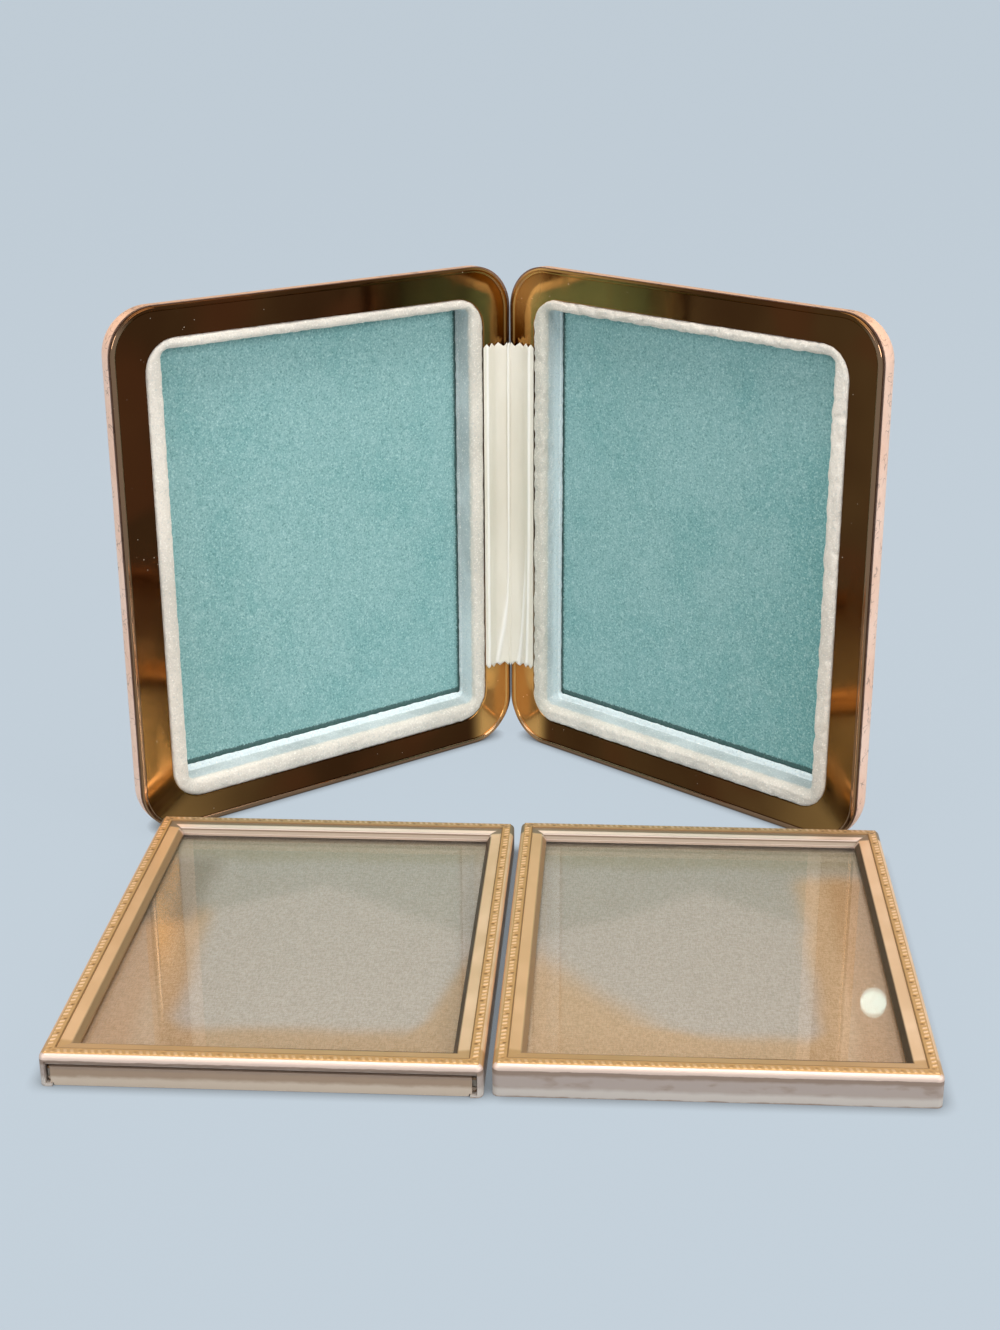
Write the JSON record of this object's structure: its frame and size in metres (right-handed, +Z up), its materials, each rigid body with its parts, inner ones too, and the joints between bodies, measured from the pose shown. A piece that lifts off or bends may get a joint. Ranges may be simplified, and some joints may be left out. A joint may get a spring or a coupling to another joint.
{
  "type": "hinged double photo frame",
  "caption": "Clamshell case with brass rims and velvet wells, hinged to stand open in a V, with loose glazed photo frames that lie in front of it and stow in its wells.",
  "frame": {"origin": "on the table, under the middle of the box round the open case and the two frames", "axes": "+Z up along the hinge pin, +X to the right seen from the open side, +Y to the back"},
  "size_m": [0.163, 0.165, 0.1165],
  "materials": {
    "tooled_leather": "gilt tooled leather with a fine dark crackle",
    "tray_steel": "pressed sheet, hidden",
    "rim_brass": "polished, lacquered",
    "collar_card": "plain card, hidden",
    "pale_velvet": "short pile, ivory with a blue-green cast",
    "floor_card": "plain card, hidden",
    "teal_velvet": "short brushed pile",
    "hinge_brass": "plain strip",
    "pin_steel": "drawn wire",
    "satin_ribbon": "ivory satin",
    "bezel_brass": "stamped and gilt, worn silvery on the walls",
    "clear_glass": "clear pane",
    "tan_card": "tan, fine laid texture",
    "filler_card": "plain card, hidden",
    "back_metal": "pale lacquered sheet"
  },
  "bodies": {
    "case_left": {"left_cover": "tooled_leather", "left_tray": "tray_steel", "left_rim": "rim_brass", "left_collar_board": "collar_card", "left_collar_velvet": "pale_velvet", "left_floor_board": "floor_card", "left_floor_velvet": "teal_velvet", "left_hinge_leaf": "hinge_brass", "hinge_pin": "pin_steel", "hinge_ribbon": "satin_ribbon"},
    "case_right": {"right_cover": "tooled_leather", "right_tray": "tray_steel", "right_rim": "rim_brass", "right_collar_board": "collar_card", "right_collar_velvet": "pale_velvet", "right_floor_board": "floor_card", "right_floor_velvet": "teal_velvet", "right_hinge_leaf": "hinge_brass"},
    "left_frame": {"left_frame_bezel": "bezel_brass", "left_frame_glass": "clear_glass"},
    "left_back": {"left_frame_back": "back_metal", "left_frame_filler": "filler_card", "left_frame_card": "tan_card"},
    "right_back": {"right_frame_back": "back_metal", "right_frame_filler": "filler_card", "right_frame_card": "tan_card"},
    "right_front": {"right_frame_bezel": "bezel_brass", "right_frame_glass": "clear_glass"}
  },
  "joints": [
    {"name": "case_hinge", "type": "hinge", "parent": "case_left", "child": "case_right", "pos_m": [-0.001, 0.07684, 0], "axis": [0, 0, -1], "range_deg": [0, 102], "deforming": ["hinge_ribbon"]},
    {"name": "left_frame_slide", "type": "slide", "parent": "case_left", "child": "left_frame", "axis": [0, -1, 0], "range_m": [0, 0.14]},
    {"name": "right_frame_slide", "type": "slide", "parent": "case_left", "child": "right_back", "axis": [0, -1, 0], "range_m": [0, 0.14]},
    {"name": "left_back_slide", "type": "slide", "parent": "left_frame", "child": "left_back", "axis": [-0.0093, -1, 0], "range_m": [0, 0.092]},
    {"name": "right_front_slide", "type": "slide", "parent": "right_back", "child": "right_front", "axis": [-0.0093, -1, 0], "range_m": [0, 0.092]}
  ],
  "couplings": [
    {"joint": "left_frame_slide", "follows": "case_hinge", "m_per_rad": 0.075},
    {"joint": "right_frame_slide", "follows": "case_hinge", "m_per_rad": 0.075}
  ]
}
